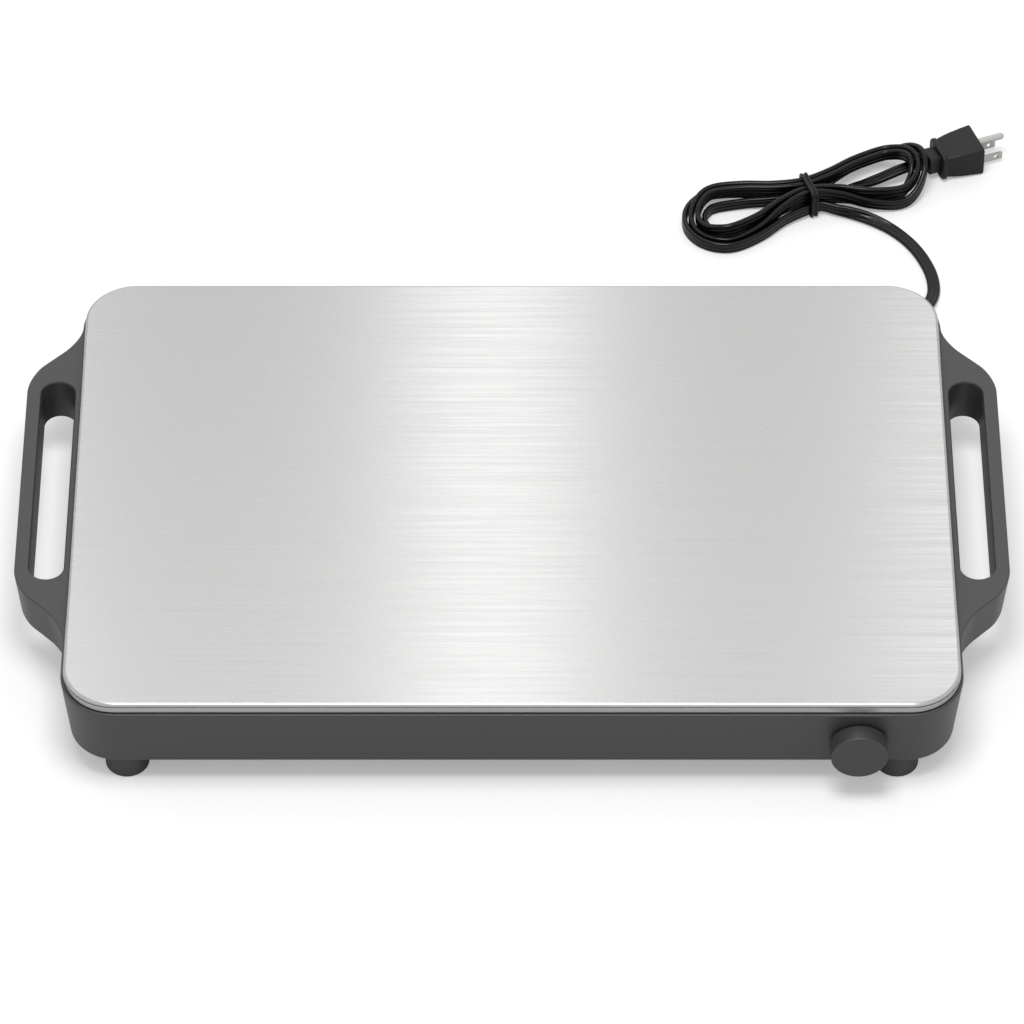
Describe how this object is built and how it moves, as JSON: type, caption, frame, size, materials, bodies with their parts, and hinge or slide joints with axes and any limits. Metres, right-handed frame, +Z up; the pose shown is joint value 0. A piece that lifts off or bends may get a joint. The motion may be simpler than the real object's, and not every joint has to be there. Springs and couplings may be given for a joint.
{
  "type": "electric food warmer tray",
  "caption": "Electric warming tray: a flat brushed steel plate on a dark moulded housing with two loop handles, a front knob, four feet and a mains cord tied in a hank.",
  "frame": {"origin": "On the floor under the middle of the tray, measured without the cord: the middle between the knob's face and the rear wall, and between the two handles.", "axes": "+X to the right seen from the front, +Y to the back, where the cord leaves, +Z up. The knob faces -Y."},
  "size_m": [0.6779, 0.6214, 0.076],
  "materials": {
    "top_plate": "brushed stainless steel",
    "seal": "black silicone",
    "housing": "satin moulded charcoal plastic",
    "base_metal": "painted sheet steel",
    "spreader": "plain sheet",
    "element": "dull sheath",
    "ceramic": "white ceramic bead",
    "steel_small": "zinc-plated steel",
    "reflector": "bright sheet",
    "mat": "glass-fibre mat",
    "knob": "satin moulded charcoal plastic",
    "spindle": "turned steel",
    "thermostat": "brown phenolic",
    "brass": "turned brass",
    "fuse": "bright",
    "block": "white moulded plastic",
    "lead_red": "silicone-covered wire",
    "lead_white": "silicone-covered wire",
    "lead_green": "silicone-covered wire",
    "cord": "black satin jacket",
    "relief": "black satin",
    "feet": "charcoal rubber",
    "tie": "black",
    "plug": "moulded black",
    "pins": "nickel-plated brass"
  },
  "bodies": {
    "tray": {"top_plate": "top_plate", "rim_seal": "seal", "housing": "housing", "base_cover": "base_metal", "heat_spreader": "spreader", "heating_element": "element", "element_beads": "ceramic", "element_pins": "steel_small", "clamp_bars": "steel_small", "clamp_screws": "steel_small", "plate_studs": "steel_small", "plate_nuts": "steel_small", "reflector_pan": "reflector", "insulation_mat": "mat", "thermostat_body": "thermostat", "thermostat_bush": "brass", "thermostat_bracket": "steel_small", "thermostat_screws": "steel_small", "thermal_fuse": "fuse", "fuse_clip": "steel_small", "terminal_block": "block", "terminal_screws": "steel_small", "fuse_lead": "fuse", "switched_lead": "lead_red", "live_lead": "lead_red", "neutral_lead": "lead_white", "earth_lead": "lead_green", "earth_screw": "brass", "cord_tail": "cord", "cord_clamp": "relief", "foot_front_left": "feet", "foot_front_right": "feet", "foot_rear_left": "feet", "foot_rear_right": "feet", "foot_screws": "steel_small", "base_screws": "steel_small", "strain_relief": "relief", "cord_lead": "cord", "cord_hank": "cord", "cord_tie": "tie", "plug_body": "plug", "plug_blades": "pins", "plug_earth_pin": "pins"},
    "knob": {"control_knob": "knob", "thermostat_spindle": "spindle", "knob_spring_clip": "spindle"}
  },
  "joints": [
    {"name": "knob_turn", "type": "hinge", "parent": "tray", "child": "knob", "pos_m": [0.2237, -0.19385, 0.0406], "axis": [0, 1, 0], "range_deg": [0, 270]}
  ]
}
